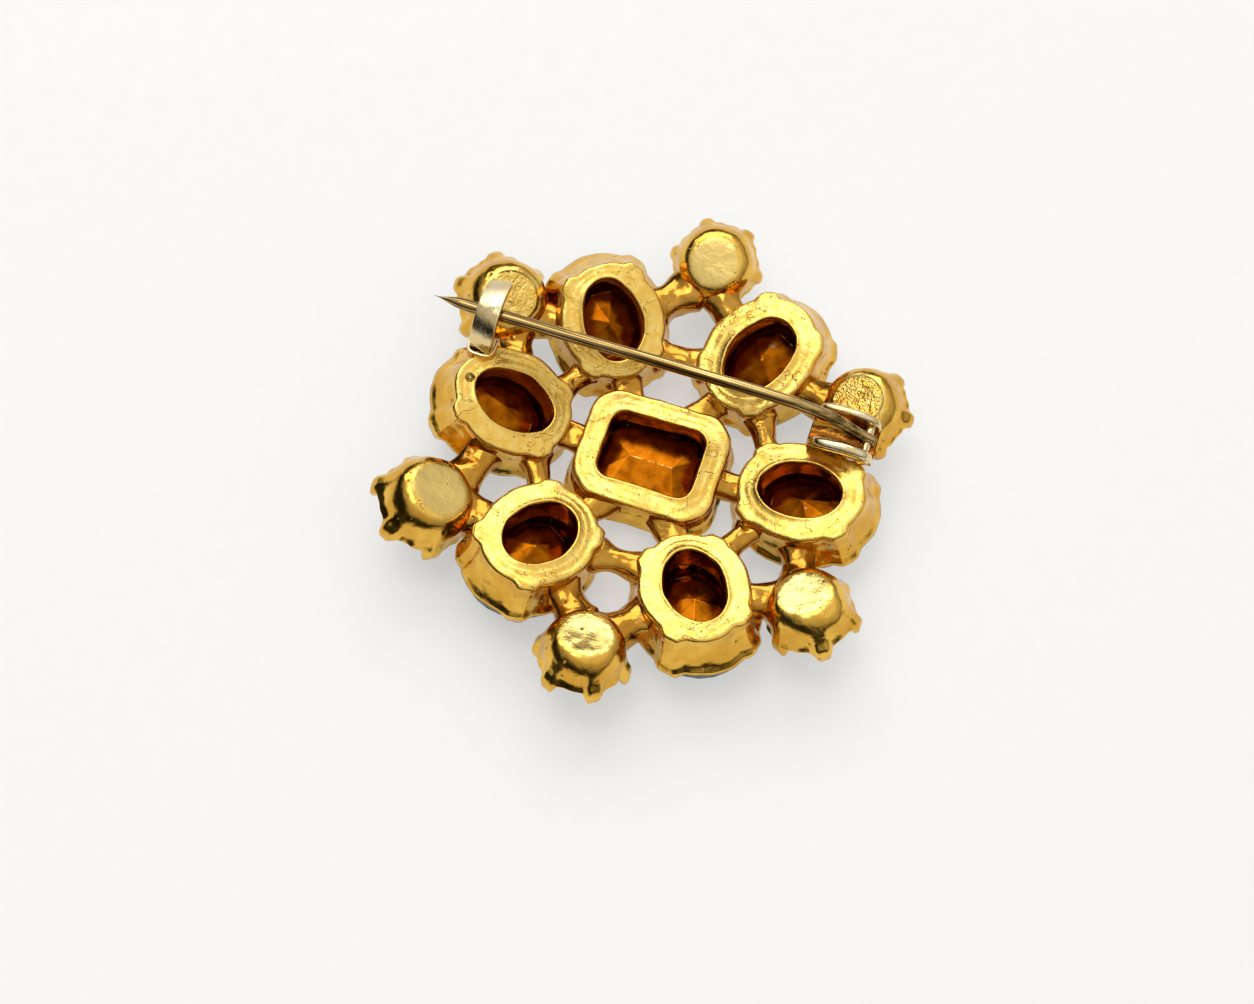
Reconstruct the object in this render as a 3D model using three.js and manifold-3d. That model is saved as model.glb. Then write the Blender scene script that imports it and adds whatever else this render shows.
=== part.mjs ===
// Vintage costume brooch: a hexagonal ring of oval and round stone settings around an
// octagonal one, with a C catch and a hinged pin on the back.
// The brooch lies face down. +Z is its back, z = 0 is the table of the centre stone, the
// origin is under the middle of that table, and +X is the long axis of the centre stone.
// Units are millimetres.
import * as THREE from 'three';
import { ConvexGeometry } from 'three/addons/geometries/ConvexGeometry.js';
import { mergeVertices } from 'three/addons/utils/BufferGeometryUtils.js';
import Module from 'manifold-3d';

const DEG = Math.PI / 180;

// Clearance kept between pieces that touch, and how far a cutter runs past what it cuts.
const GAP = 0.05;
const OVERRUN = 1;

// Centre setting and its step cut stone, 10 x 8 mm.
const CENTRE_BACK_Z = 4.4;
const CENTRE_RIM_Z = 1.4;
const CENTRE_HALF = [5.6, 4.6];
const CENTRE_CORNER = 1.7;
const CENTRE_FLARE = 0.35;
const CENTRE_OPENING_HALF = [3.7, 2.8];
const CENTRE_OPENING_CORNER = 0.7;
const CENTRE_STONE_HALF = [5.0, 4.0];
const CENTRE_STONE_KEEL = [1.8, 2.9];

// Oval settings and their stones, 10.8 x 9 mm. Depths are measured forward from the back face.
const OVAL_HALF = [4.9, 4.15];
const OVAL_OPENING_HALF = [3.16, 2.23];
const OVAL_STONE_HALF = [5.4, 4.5];
const OVAL_RIM_DEPTH = 3.5;
const OVAL_RIM_SHARE = 1.17;
const OVAL_CULET_DEPTH = 2.0;
const OVAL_TABLE_DEPTH = 5.2;
const OVAL_CLAW_DEPTH = 4.8;
const OVAL_LUG_RADIUS = 0.7;
const OVAL_LUG_ANGLE = 42;
const OVAL_SEGMENTS = 24;

// Closed round cups with six prongs, and their round stones, 6.4 mm across.
const CUP_DISC_RADIUS = 2.1;
const CUP_RADIUS = 3.2;
const CUP_RIM_RADIUS = 3.5;
const CUP_RIM_DEPTH = 3.0;
const CUP_PRONG_COUNT = 6;
const CUP_PRONG_DEPTH = 4.0;
const CUP_STONE_RADIUS = 3.2;
const CUP_STONE_TABLE_DEPTH = 4.6;
const CUP_SEGMENTS = 20;

// A prong's sections: depth, inner and outer distance from the cup's axis, and half width.
const CUP_PRONG_SECTIONS = [
  [1.6, 2.8, 3.15, 0.3],
  [2.7, 2.8, 3.85, 0.5],
  [3.6, 2.8, 4.0, 0.45],
  [CUP_PRONG_DEPTH, 2.7, 3.5, 0.3],
];

// The settings sit on a shallow dome: each ring has its own height and lean.
const OVAL_RING = { radius: 11.33, z: CENTRE_BACK_Z + 1.8, lean: 13 };
const CUP_RING = { radius: 16.2, z: CENTRE_BACK_Z + 2.3, lean: 24 };

// Settings were placed by hand. Each row is how far one is off its even place: degrees round
// the ring, millimetres outward, and degrees of extra lean.
const OVAL_SHIFTS = [
  [0, 0.4, 0],
  [0.8, 0.1, 3],
  [3.7, -0.4, 7],
  [-0.9, -0.2, 8],
  [-1.7, -0.2, 2],
  [3, 0.4, 0],
];
const CUP_SHIFTS = [
  [0.7, -0.1, 0],
  [0, 0, 0],
  [-0.4, 0.1, 0],
  [1.7, 0.2, 5],
  [0.2, -0.2, 0],
  [0.6, 0.2, 0],
];

// Bridging bars: section width and height, and the height that they run at.
const BAR_OVAL_OVAL = { width: 1.8, height: 1.7, z: 3.4, radius: 10.3 };
const BAR_CENTRE_OVAL = { width: 2.4, height: 1.8, z: 2.7 };
const BAR_CUP_OVAL = { width: 2.4, height: 2.1, z: 4.0 };

// Pin stem: round wire, drawn to a point, on a rivet in the hinge bracket.
const WIRE_RADIUS = 0.47;
const STEM_Y = 5.13;
const STEM_Z = CENTRE_BACK_Z + 5.2;
const RIVET_X = 15.5;
const RIVET_Z = CENTRE_BACK_Z + 2.9;
const STEM_TAPER_X = -16;
const STEM_TIP_X = -19.3;
const EYE_RADIUS = 0.75;
const EYE_THICKNESS = 0.9;
const RIVET_RADIUS = 0.33;
const RIVET_HOLE_RADIUS = 0.4;
const RIVET_HEAD_RADIUS = 0.55;

// Hinge bracket: a folded trough with two long, thick, rounded ears.
const EAR_THICKNESS = 0.7;
const EAR_INSIDE_WIDTH = 2.0;
const EAR_Y = EAR_INSIDE_WIDTH / 2 + EAR_THICKNESS;
const BRACKET_X = [10.9, 16.4];
const BRACKET_BASE_Z = CENTRE_BACK_Z + 1.3;
const BRACKET_BASE_THICKNESS = 0.35;
const EAR_TOP_Z = CENTRE_BACK_Z + 3.9;
const BRACKET_WALL_TOP_Z = CENTRE_BACK_Z + 2.9;

// Catch: a strip that rises from a collar, arches over the stem and stays open on its far side.
// Its middle line is [y, height over the centre setting's back] pairs.
const CATCH_X = -14.7;
const CATCH_WIDTH = 1.85;
const CATCH_THICKNESS = 0.32;
const CATCH_LINE = [[2.5, 1.7], [2.6, 2.9], [3.0, 4.4], [3.9, 5.5], [5.1, 5.95], [6.6, 5.8], [7.8, 5.2]];

// The collar is a U that wraps the strip's foot. Its heights are over the centre setting's back.
const COLLAR_HEIGHTS = [1.2, 3.6];
const COLLAR_DEPTH = 1.3;
const COLLAR_SIDE = 0.15;
const COLLAR_CORNER = 0.6;

const GOLD = { color: 0xd9a13c, metalness: 1, roughness: 0.28 };
const PALE_GOLD = { color: 0xd8c48e, metalness: 1, roughness: 0.25 };
const BRASS = { color: 0xb8924f, metalness: 1, roughness: 0.3 };
const GREEN_GLASS = { color: 0x12423f, metalness: 0, roughness: 0.08 };

const wasm = await Module();
wasm.setup();

const brooch = new THREE.Group();

// ---- Helpers -------------------------------------------------------------------------------

// Merge a geometry's shared corners and drop the empty triangles that a lathe leaves on its axis.
function closedGeometry(source) {
  const geometry = source.clone();
  for (const name of Object.keys(geometry.attributes)) {
    if (name !== 'position') {
      geometry.deleteAttribute(name);
    }
  }
  const merged = mergeVertices(geometry, 1e-4);
  const kept = [];
  for (let i = 0; i < merged.index.count; i += 3) {
    const [a, b, c] = [0, 1, 2].map((k) => merged.index.getX(i + k));
    if (a !== b && b !== c && c !== a) {
      kept.push(a, b, c);
    }
  }
  merged.setIndex(kept);
  return merged;
}

function solid(source) {
  const geometry = closedGeometry(source);
  const mesh = new wasm.Mesh({
    numProp: 3,
    vertProperties: new Float32Array(geometry.attributes.position.array),
    triVerts: new Uint32Array(geometry.index.array),
  });
  return new wasm.Manifold(mesh);
}

function geometryOf(manifold) {
  const mesh = manifold.getMesh();
  const geometry = new THREE.BufferGeometry();
  geometry.setAttribute('position', new THREE.BufferAttribute(mesh.vertProperties, 3));
  geometry.setIndex(new THREE.BufferAttribute(mesh.triVerts, 1));
  geometry.computeVertexNormals();
  return geometry;
}

// The largest of the separate bodies that a cut has left.
function largestBody(manifold) {
  const bodies = manifold.decompose();
  return bodies.reduce((best, body) => (body.volume() > best.volume() ? body : best));
}

// A turned solid about Z. The profile is [radius, z] pairs from the lowest z to the highest.
function turned(profile, segments) {
  const points = profile.map(([radius, z]) => new THREE.Vector2(radius, z));
  const geometry = new THREE.LatheGeometry(points, segments);
  geometry.rotateX(90 * DEG);
  return geometry;
}

function octagonPoints([halfX, halfY], corner, z) {
  const points = [];
  for (const [sx, sy] of [[1, 1], [-1, 1], [-1, -1], [1, -1]]) {
    points.push(new THREE.Vector3(sx * halfX, sy * (halfY - corner), z));
    points.push(new THREE.Vector3(sx * (halfX - corner), sy * halfY, z));
  }
  return points;
}

function grown([halfX, halfY], amount) {
  return [halfX + amount, halfY + amount];
}

function addMesh(name, geometry, look, parent = brooch) {
  const mesh = new THREE.Mesh(geometry, new THREE.MeshStandardMaterial(look));
  mesh.name = name;
  parent.add(mesh);
  return mesh;
}

// The place of a setting on its ring: local +X points outward and +Z to the back.
function ringPlace(ring, evenAngle, [turn, shift, extraLean]) {
  const angle = (evenAngle + turn) * DEG;
  const radius = ring.radius + shift;
  const group = new THREE.Group();
  group.position.set(radius * Math.cos(angle), radius * Math.sin(angle), ring.z);
  group.rotation.set(0, -(ring.lean + extraLean) * DEG, angle, 'ZYX');
  group.updateMatrix();
  brooch.add(group);
  return group;
}

function placed(source, place) {
  return solid(source.clone().applyMatrix4(place.matrix));
}

// A straight bar between two points, square in section.
function bar(from, to, { width, height }) {
  const start = new THREE.Vector3(...from);
  const along = new THREE.Vector3(...to).sub(start);
  const geometry = new THREE.BoxGeometry(along.length(), width, height);
  geometry.translate(along.length() / 2, 0, 0);
  const flat = Math.hypot(along.x, along.y);
  const turn = new THREE.Matrix4().makeRotationFromEuler(
    new THREE.Euler(0, -Math.atan2(along.z, flat), Math.atan2(along.y, along.x), 'ZYX'),
  );
  geometry.applyMatrix4(turn);
  geometry.translate(start.x, start.y, start.z);
  return geometry;
}

// ---- Centre setting ------------------------------------------------------------------------

function centreStone(grow) {
  const keel = CENTRE_STONE_KEEL;
  const points = [
    ...octagonPoints(grown(CENTRE_STONE_HALF, grow - 1.6), 0.9, -grow),
    ...octagonPoints(grown(CENTRE_STONE_HALF, grow - 0.5), 1.35, 0.65 - grow),
    ...octagonPoints(grown(CENTRE_STONE_HALF, grow), 1.5, 1.3),
    ...octagonPoints(grown(CENTRE_STONE_HALF, grow), 1.5, 1.5),
    ...octagonPoints(grown(CENTRE_STONE_HALF, grow - 1.4), 0.95, 2.3),
    new THREE.Vector3(keel[0], 0, keel[1] + grow),
    new THREE.Vector3(-keel[0], 0, keel[1] + grow),
  ];
  return new ConvexGeometry(points);
}

function centreClaw(sx, sy, grow) {
  const points = [];
  const inner = [sx * (CENTRE_HALF[0] - 1.35), sy * (CENTRE_HALF[1] - 1.35)];
  const outward = new THREE.Vector2(sx, sy).normalize();
  for (const [z, reach, half] of [[0.25, 0.35, 0.45], [0.45, 0.7, 0.55], [4.0, 0.45, 0.55]]) {
    for (const [along, across] of [[-0.3, 1], [-0.3, -1], [reach + grow, 1], [reach + grow, -1]]) {
      const side = across * (half + grow);
      const x = inner[0] + outward.x * along - outward.y * side;
      const y = inner[1] + outward.y * along + outward.x * side;
      points.push(new THREE.Vector3(x, y, z));
    }
  }
  return new ConvexGeometry(points);
}

function centreOuter(grow) {
  const flared = grown(CENTRE_HALF, CENTRE_FLARE + grow);
  let outer = solid(new ConvexGeometry([
    ...octagonPoints(grown(CENTRE_HALF, grow - 0.3), CENTRE_CORNER, CENTRE_BACK_Z + grow),
    ...octagonPoints(grown(CENTRE_HALF, grow), CENTRE_CORNER, CENTRE_BACK_Z - 0.35),
    ...octagonPoints(flared, CENTRE_CORNER, CENTRE_RIM_Z + 0.3),
    ...octagonPoints(flared, CENTRE_CORNER, CENTRE_RIM_Z - grow),
  ]));
  for (const [sx, sy] of [[1, 1], [-1, 1], [-1, -1], [1, -1]]) {
    outer = outer.add(solid(centreClaw(sx, sy, grow)));
  }
  return outer;
}

function centreSetting() {
  const opening = new ConvexGeometry([
    ...octagonPoints(CENTRE_OPENING_HALF, CENTRE_OPENING_CORNER, CENTRE_RIM_Z + 0.5),
    ...octagonPoints(CENTRE_OPENING_HALF, CENTRE_OPENING_CORNER, CENTRE_BACK_Z + OVERRUN),
  ]);
  return geometryOf(centreOuter(0).subtract(solid(opening)).subtract(solid(centreStone(GAP))));
}

// ---- Oval settings -------------------------------------------------------------------------

function stretched(geometry, [halfX, halfY]) {
  const mean = (halfX + halfY) / 2;
  geometry.scale(halfX / mean, halfY / mean, 1);
  return geometry;
}

function ovalStone(grow) {
  const [halfX, halfY] = grown(OVAL_STONE_HALF, grow);
  const mean = (halfX + halfY) / 2;
  const profile = [
    [0, -OVAL_TABLE_DEPTH - grow],
    [mean * 0.62, -OVAL_TABLE_DEPTH - grow],
    [mean * 0.88, -OVAL_TABLE_DEPTH + 0.6 - grow],
    [mean, -OVAL_RIM_DEPTH - 0.2],
    [mean, -OVAL_RIM_DEPTH + 0.05],
    [0, -OVAL_CULET_DEPTH + grow],
  ];
  return stretched(turned(profile, 16), [halfX, halfY]);
}

// The four corner lugs run down the wall and end in claws over the stone.
function ovalLug(angle, grow) {
  const points = [];
  for (const [depth, share, radius] of [
    [0.25, 1, OVAL_LUG_RADIUS * 0.75],
    [0.7, 1.02, OVAL_LUG_RADIUS],
    [OVAL_RIM_DEPTH + 0.3, OVAL_RIM_SHARE, OVAL_LUG_RADIUS],
    [OVAL_CLAW_DEPTH, OVAL_RIM_SHARE * 0.92, OVAL_LUG_RADIUS * 0.6],
  ]) {
    for (let i = 0; i < 8; i += 1) {
      const around = i * 45 * DEG;
      points.push(new THREE.Vector3(
        OVAL_HALF[0] * share * 0.95 * Math.cos(angle) + (radius + grow) * Math.cos(around),
        OVAL_HALF[1] * share * 0.95 * Math.sin(angle) + (radius + grow) * Math.sin(around),
        -depth,
      ));
    }
  }
  return new ConvexGeometry(points);
}

function ovalOuter(grow) {
  const [halfX, halfY] = grown(OVAL_HALF, grow);
  const mean = (halfX + halfY) / 2;
  const profile = [
    [0, -OVAL_RIM_DEPTH - grow],
    [mean * OVAL_RIM_SHARE, -OVAL_RIM_DEPTH - grow],
    [mean * OVAL_RIM_SHARE, -OVAL_RIM_DEPTH + 0.3],
    [mean, -0.3],
    [mean * 0.94, grow],
    [0, grow],
  ];
  let outer = solid(stretched(turned(profile, OVAL_SEGMENTS), [halfX, halfY]));
  for (const quarter of [1, 3]) {
    for (const side of [-1, 1]) {
      const angle = (quarter * 90 + side * (90 - OVAL_LUG_ANGLE)) * DEG;
      outer = outer.add(solid(ovalLug(angle, grow)));
    }
  }
  return outer;
}

function ovalSetting() {
  const [halfX, halfY] = OVAL_OPENING_HALF;
  const mean = (halfX + halfY) / 2;
  const opening = stretched(turned([
    [0, -OVAL_RIM_DEPTH + 0.3],
    [mean, -OVAL_RIM_DEPTH + 0.3],
    [mean, -0.15],
    [mean + 0.15, OVERRUN],
    [0, OVERRUN],
  ], OVAL_SEGMENTS), OVAL_OPENING_HALF);
  return geometryOf(ovalOuter(0).subtract(solid(opening)).subtract(solid(ovalStone(GAP))));
}

// ---- Round cups ----------------------------------------------------------------------------

function cupStone(grow) {
  const radius = CUP_STONE_RADIUS + grow;
  return turned([
    [0, -CUP_STONE_TABLE_DEPTH - grow],
    [radius * 0.6, -CUP_STONE_TABLE_DEPTH - grow],
    [radius, -CUP_RIM_DEPTH - 0.35],
    [radius, -CUP_RIM_DEPTH + 0.05],
    [0, -0.9 + grow],
  ], 12);
}

function cupProng(grow) {
  const points = [];
  for (const [depth, inner, outer, half] of CUP_PRONG_SECTIONS) {
    for (const side of [-1, 1]) {
      points.push(new THREE.Vector3(inner, side * (half + grow), -depth));
      points.push(new THREE.Vector3(outer + grow, side * (half + grow), -depth));
    }
  }
  return new ConvexGeometry(points);
}

function cupOuter(grow) {
  let outer = solid(turned([
    [0, -CUP_RIM_DEPTH - grow],
    [CUP_RIM_RADIUS + grow, -CUP_RIM_DEPTH - grow],
    [CUP_RIM_RADIUS + grow, -CUP_RIM_DEPTH + 0.25],
    [CUP_RADIUS + grow, -1.4],
    [CUP_RADIUS - 0.3 + grow, -0.55],
    [CUP_DISC_RADIUS + grow, grow],
    [0, grow],
  ], CUP_SEGMENTS));
  for (let i = 0; i < CUP_PRONG_COUNT; i += 1) {
    const prong = cupProng(grow);
    prong.rotateZ((30 + i * (360 / CUP_PRONG_COUNT)) * DEG);
    outer = outer.add(solid(prong));
  }
  return outer;
}

function cup() {
  return geometryOf(cupOuter(0).subtract(solid(cupStone(GAP))));
}

// ---- Settings and stones in place ----------------------------------------------------------

const obstacles = { centre: centreOuter(GAP), ovals: [], cups: [] };

addMesh('centre_setting', centreSetting(), GOLD);
addMesh('centre_stone', centreStone(0), GREEN_GLASS);

const ovalCutter = geometryOf(ovalOuter(GAP).add(solid(ovalStone(GAP))));
const cupCutter = geometryOf(cupOuter(GAP).add(solid(cupStone(GAP))));
const ovalPlaces = OVAL_SHIFTS.map((shift, i) => ringPlace(OVAL_RING, i * 60, shift));
const cupPlaces = CUP_SHIFTS.map((shift, i) => ringPlace(CUP_RING, 30 + i * 60, shift));

ovalPlaces.forEach((place, i) => {
  addMesh(`oval_setting_${i + 1}`, ovalSetting(), GOLD, place);
  addMesh(`oval_stone_${i + 1}`, closedGeometry(ovalStone(0)), GREEN_GLASS, place);
  obstacles.ovals.push(placed(ovalCutter, place));
});

cupPlaces.forEach((place, i) => {
  addMesh(`round_cup_${i + 1}`, cup(), GOLD, place);
  addMesh(`round_stone_${i + 1}`, closedGeometry(cupStone(0)), GREEN_GLASS, place);
  obstacles.cups.push(placed(cupCutter, place));
});

// ---- Bridging bars -------------------------------------------------------------------------

function trimmedBar(name, from, to, section, cutters) {
  let piece = solid(bar(from, to, section));
  for (const cutter of cutters) {
    piece = piece.subtract(cutter);
  }
  addMesh(name, geometryOf(largestBody(piece)), GOLD);
}

// A point inside a setting, partway from its middle towards the brooch centre.
function inside(place, inward, z) {
  const { x, y } = place.position;
  const radius = Math.hypot(x, y);
  const share = (radius - inward) / radius;
  return [x * share, y * share, z];
}

for (let i = 0; i < 6; i += 1) {
  const next = (i + 1) % 6;
  const oval = ovalPlaces[i];
  const nextOval = ovalPlaces[next];
  const { centre, ovals, cups } = obstacles;

  const ringBar = BAR_OVAL_OVAL;
  trimmedBar(
    `ring_bar_${i + 1}`,
    inside(oval, OVAL_RING.radius - ringBar.radius, ringBar.z),
    inside(nextOval, OVAL_RING.radius - ringBar.radius, ringBar.z),
    ringBar,
    [ovals[i], ovals[next]],
  );

  const spoke = BAR_CENTRE_OVAL;
  trimmedBar(`centre_bar_${i + 1}`, [0, 0, spoke.z], inside(oval, 1.5, spoke.z), spoke, [centre, ovals[i]]);

  const link = BAR_CUP_OVAL;
  const cupEnd = inside(cupPlaces[i], 0, link.z);
  trimmedBar(`cup_bar_${i + 1}a`, cupEnd, inside(oval, 0, link.z - 0.6), link, [cups[i], ovals[i]]);
  trimmedBar(`cup_bar_${i + 1}b`, cupEnd, inside(nextOval, 0, link.z - 0.6), link, [cups[i], ovals[next]]);
}

// ---- Hinge bracket, rivet and pin stem -----------------------------------------------------

// A rod or hole about an axis that runs along Y.
function crossRod(radius, fromY, toY, segments = 16) {
  const geometry = new THREE.CylinderGeometry(radius, radius, toY - fromY, segments);
  geometry.translate(RIVET_X, (fromY + toY) / 2, RIVET_Z);
  return geometry;
}

// Extrude a shape drawn in X and Z along Y.
function extrudeAlongY(shape, fromY, toY) {
  const geometry = new THREE.ExtrudeGeometry(shape, {
    depth: toY - fromY,
    bevelEnabled: false,
    curveSegments: 8,
  });
  geometry.rotateX(90 * DEG);
  geometry.translate(0, toY, 0);
  return geometry;
}

function bracketOutline() {
  const [x0, x1] = BRACKET_X;
  const shape = new THREE.Shape();
  shape.moveTo(x0 + 0.6, BRACKET_BASE_Z);
  shape.lineTo(x1 - 0.8, BRACKET_BASE_Z);
  shape.quadraticCurveTo(x1, BRACKET_BASE_Z + 0.3, x1, RIVET_Z + 0.1);
  shape.quadraticCurveTo(x1 - 0.1, EAR_TOP_Z - 0.2, x1 - 1.7, EAR_TOP_Z);
  shape.lineTo(x0 + 1.9, EAR_TOP_Z);
  shape.quadraticCurveTo(x0 + 0.1, EAR_TOP_Z - 0.3, x0, RIVET_Z);
  shape.quadraticCurveTo(x0, BRACKET_BASE_Z + 0.2, x0 + 0.6, BRACKET_BASE_Z);
  return shape;
}

function hingeBracket() {
  const [x0, x1] = BRACKET_X;
  const trough = new THREE.BoxGeometry(x1 - x0 + OVERRUN, EAR_INSIDE_WIDTH, EAR_TOP_Z - BRACKET_BASE_Z);
  trough.translate(
    (x0 + x1 + OVERRUN) / 2 + EAR_THICKNESS,
    STEM_Y,
    (EAR_TOP_Z + BRACKET_BASE_Z) / 2 + BRACKET_BASE_THICKNESS,
  );
  const notch = new THREE.BoxGeometry(2 * OVERRUN, EAR_INSIDE_WIDTH, OVERRUN);
  notch.translate(x0, STEM_Y, BRACKET_WALL_TOP_Z + OVERRUN / 2);
  return solid(extrudeAlongY(bracketOutline(), STEM_Y - EAR_Y, STEM_Y + EAR_Y))
    .subtract(solid(trough))
    .subtract(solid(notch))
    .subtract(solid(crossRod(RIVET_HOLE_RADIUS, STEM_Y - EAR_Y - OVERRUN, STEM_Y + EAR_Y + OVERRUN)))
    .subtract(obstacles.ovals[0])
    .subtract(obstacles.cups[0]);
}

const bracket = hingeBracket();
addMesh('hinge_bracket', geometryOf(bracket), PALE_GOLD);

const rivet = solid(crossRod(RIVET_RADIUS, STEM_Y - EAR_Y - 0.1, STEM_Y + EAR_INSIDE_WIDTH / 2 + 0.15))
  .add(solid(crossRod(RIVET_HEAD_RADIUS, STEM_Y - EAR_Y - 0.3, STEM_Y - EAR_Y - GAP)));
addMesh('hinge_rivet', geometryOf(rivet), PALE_GOLD);

function pinStem() {
  const section = new THREE.Shape();
  section.absarc(0, 0, WIRE_RADIUS, 0, 2 * Math.PI, false);
  const line = new THREE.CatmullRomCurve3([
    new THREE.Vector3(RIVET_X - 0.3, STEM_Y, RIVET_Z + 0.1),
    new THREE.Vector3(14.1, STEM_Y, STEM_Z - 1.35),
    new THREE.Vector3(12.6, STEM_Y, STEM_Z - 0.5),
    new THREE.Vector3(10.4, STEM_Y, STEM_Z + 0.1),
    new THREE.Vector3(7.6, STEM_Y, STEM_Z + 0.3),
    new THREE.Vector3(0, STEM_Y, STEM_Z + 0.2),
    new THREE.Vector3(-8, STEM_Y, STEM_Z + 0.05),
    new THREE.Vector3(STEM_TAPER_X, STEM_Y, STEM_Z),
  ]);
  const wire = new THREE.ExtrudeGeometry(section, {
    steps: 30,
    curveSegments: 5,
    bevelEnabled: false,
    extrudePath: line,
  });
  const point = turned([
    [0, 0],
    [WIRE_RADIUS * 0.97, 0],
    [WIRE_RADIUS * 0.85, 1.3],
    [WIRE_RADIUS * 0.5, 2.6],
    [0, STEM_TAPER_X - STEM_TIP_X + 0.2],
  ], 10);
  point.rotateY(-90 * DEG);
  point.translate(STEM_TAPER_X + 0.2, STEM_Y, STEM_Z);
  const eye = crossRod(EYE_RADIUS, STEM_Y - EYE_THICKNESS / 2, STEM_Y + EYE_THICKNESS / 2, 20);
  const hole = crossRod(RIVET_HOLE_RADIUS, STEM_Y - OVERRUN, STEM_Y + OVERRUN);
  return geometryOf(solid(wire).add(solid(point)).add(solid(eye)).subtract(solid(hole)));
}

addMesh('pin_stem', pinStem(), BRASS);

// ---- Catch ---------------------------------------------------------------------------------

// The strip's section: its middle line, offset to both sides, drawn in Y and Z.
function stripSection() {
  const curve = new THREE.SplineCurve(CATCH_LINE.map(([y, z]) => new THREE.Vector2(y, CENTRE_BACK_Z + z)));
  const count = 16;
  const left = [];
  const right = [];
  for (let i = 0; i <= count; i += 1) {
    const point = curve.getPoint(i / count);
    const tangent = curve.getTangent(i / count);
    const offset = new THREE.Vector2(-tangent.y, tangent.x).multiplyScalar(CATCH_THICKNESS / 2);
    left.push(point.clone().add(offset));
    right.unshift(point.clone().sub(offset));
  }
  return new THREE.Shape([...left, ...right]);
}

function catchWithCollar() {
  const strip = new THREE.ExtrudeGeometry(stripSection(), { depth: CATCH_WIDTH, bevelEnabled: false });
  strip.rotateY(90 * DEG);
  strip.rotateX(90 * DEG);
  strip.translate(CATCH_X - CATCH_WIDTH / 2, 0, 0);

  const half = CATCH_WIDTH / 2 + COLLAR_SIDE;
  const corner = COLLAR_CORNER;
  const y0 = CATCH_LINE[0][0] - CATCH_THICKNESS / 2;
  const plan = new THREE.Shape();
  plan.moveTo(CATCH_X - half, y0 + COLLAR_DEPTH);
  plan.lineTo(CATCH_X - half, y0 + corner);
  plan.quadraticCurveTo(CATCH_X - half, y0, CATCH_X - half + corner, y0);
  plan.lineTo(CATCH_X + half - corner, y0);
  plan.quadraticCurveTo(CATCH_X + half, y0, CATCH_X + half, y0 + corner);
  plan.lineTo(CATCH_X + half, y0 + COLLAR_DEPTH);
  const collar = new THREE.ExtrudeGeometry(plan, {
    depth: COLLAR_HEIGHTS[1] - COLLAR_HEIGHTS[0],
    bevelEnabled: false,
    curveSegments: 6,
  });
  collar.translate(0, 0, CENTRE_BACK_Z + COLLAR_HEIGHTS[0]);
  return solid(collar)
    .add(solid(strip))
    .subtract(obstacles.ovals[3])
    .subtract(obstacles.cups[2]);
}

addMesh('catch', geometryOf(catchWithCollar()), PALE_GOLD);

export default brooch;
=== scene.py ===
import math

import bmesh
import bpy
from mathutils import Matrix, Vector, noise


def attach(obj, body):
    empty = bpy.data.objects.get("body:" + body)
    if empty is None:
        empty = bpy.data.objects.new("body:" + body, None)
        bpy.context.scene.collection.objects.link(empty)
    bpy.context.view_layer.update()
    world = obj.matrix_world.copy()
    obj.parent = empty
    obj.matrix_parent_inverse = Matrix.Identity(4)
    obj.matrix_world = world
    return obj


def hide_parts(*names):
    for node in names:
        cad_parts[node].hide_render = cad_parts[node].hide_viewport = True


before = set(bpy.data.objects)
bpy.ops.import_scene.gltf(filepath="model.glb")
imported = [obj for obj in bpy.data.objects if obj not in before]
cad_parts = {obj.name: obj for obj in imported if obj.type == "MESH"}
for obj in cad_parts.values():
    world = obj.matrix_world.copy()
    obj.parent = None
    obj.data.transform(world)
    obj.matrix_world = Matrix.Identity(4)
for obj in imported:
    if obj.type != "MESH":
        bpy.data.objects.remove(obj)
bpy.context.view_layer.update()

MM = 0.001
TAU = 2 * math.pi

# Without a seed, the noise that shapes the castings starts from the clock.
noise.seed_set(1)

# Claws and stones that the brooch lies on are worn flat at this height, in millimetres.
LOWEST = 0.02

# ---- Driving sizes, in millimetres, the same as the CAD model's ---------------------------

CENTRE_BACK = 4.4
CENTRE_HALF = (5.6, 4.6)
CENTRE_FLARE = 0.35
CENTRE_RIM_DEPTH = 3.0
CENTRE_OPENING = (3.7, 2.8)
CENTRE_STONE = (5.0, 4.0)

OVAL_HALF = (4.9, 4.15)
OVAL_OPENING = (3.16, 2.23)
OVAL_STONE = (5.4, 4.5)
OVAL_RIM_SHARE = 1.17
OVAL_RIM_DEPTH = 3.5
OVAL_CLAW_DEPTH = 4.8
OVAL_TABLE_DEPTH = 5.2
OVAL_CULET_DEPTH = 2.0
OVAL_LUG_ANGLES = (42, 138, 222, 318)

CUP_PRONG_ANGLES = (30, 90, 150, 210, 270, 330)
CUP_RIM_DEPTH = 3.0
CUP_PRONG_DEPTH = 4.0
CUP_STONE_RADIUS = 3.2
CUP_STONE_TABLE_DEPTH = 4.6

OVAL_RING = {"radius": 11.33, "z": CENTRE_BACK + 1.8, "lean": 13}
CUP_RING = {"radius": 16.2, "z": CENTRE_BACK + 2.3, "lean": 24}
# Degrees round the ring, millimetres outward and degrees of extra lean, setting by setting.
OVAL_SHIFTS = ((0, 0.4, 0), (0.8, 0.1, 3), (3.7, -0.4, 7), (-0.9, -0.2, 8), (-1.7, -0.2, 2), (3, 0.4, 0))
CUP_SHIFTS = ((0.7, -0.1, 0), (0, 0, 0), (-0.4, 0.1, 0), (1.7, 0.2, 5), (0.2, -0.2, 0), (0.6, 0.2, 0))

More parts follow.
